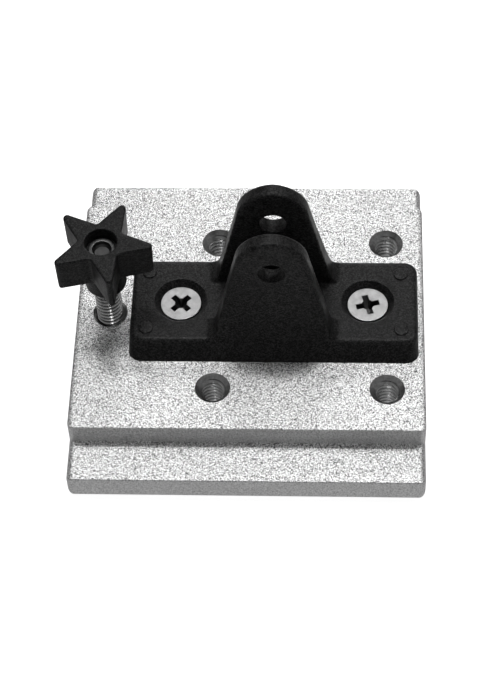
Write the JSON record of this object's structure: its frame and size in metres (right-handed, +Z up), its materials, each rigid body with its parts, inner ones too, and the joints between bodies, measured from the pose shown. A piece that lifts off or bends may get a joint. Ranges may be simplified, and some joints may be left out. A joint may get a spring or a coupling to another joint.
{
  "type": "clevis hinge track slide",
  "caption": "T-section aluminium track slide carrying a black clevis deck hinge, with tapped accessory holes and a star-knob clamp screw that locks it in its track.",
  "frame": {"origin": "centre of the slide plate's underside", "axes": "+X along the track, away from the clamp screw; +Y across the track, along the hinge pin's axis; +Z up, out of the plate's top"},
  "size_m": [0.0863, 0.088, 0.051],
  "materials": {
    "blasted_aluminium": "bead blasted, clear anodised",
    "black_nylon": "moulded, fine satin texture",
    "screw_steel": "passivated stainless, faintly brushed",
    "stud_steel": "rolled thread, bright",
    "knob_plastic": "moulded, fine matt texture"
  },
  "bodies": {
    "plate": {"slide_block": "blasted_aluminium", "hinge_bracket": "black_nylon", "bracket_screw_left": "screw_steel", "bracket_screw_right": "screw_steel"},
    "clamp_screw": {"clamp_stud": "stud_steel"},
    "knob": {"star_knob": "knob_plastic"}
  },
  "joints": [
    {"name": "clamp_travel", "type": "slide", "parent": "plate", "child": "clamp_screw", "axis": [0, 0, 1], "range_m": [-0.01144, 0.0089]},
    {"name": "knob_turn", "type": "hinge", "parent": "clamp_screw", "child": "knob", "pos_m": [-0.0339, 0, 0.035], "axis": [0, 0, 1], "range_deg": [-3240, 2520]}
  ],
  "couplings": [
    {"joint": "clamp_travel", "follows": "knob_turn", "m_per_rad": 0.00020213}
  ]
}
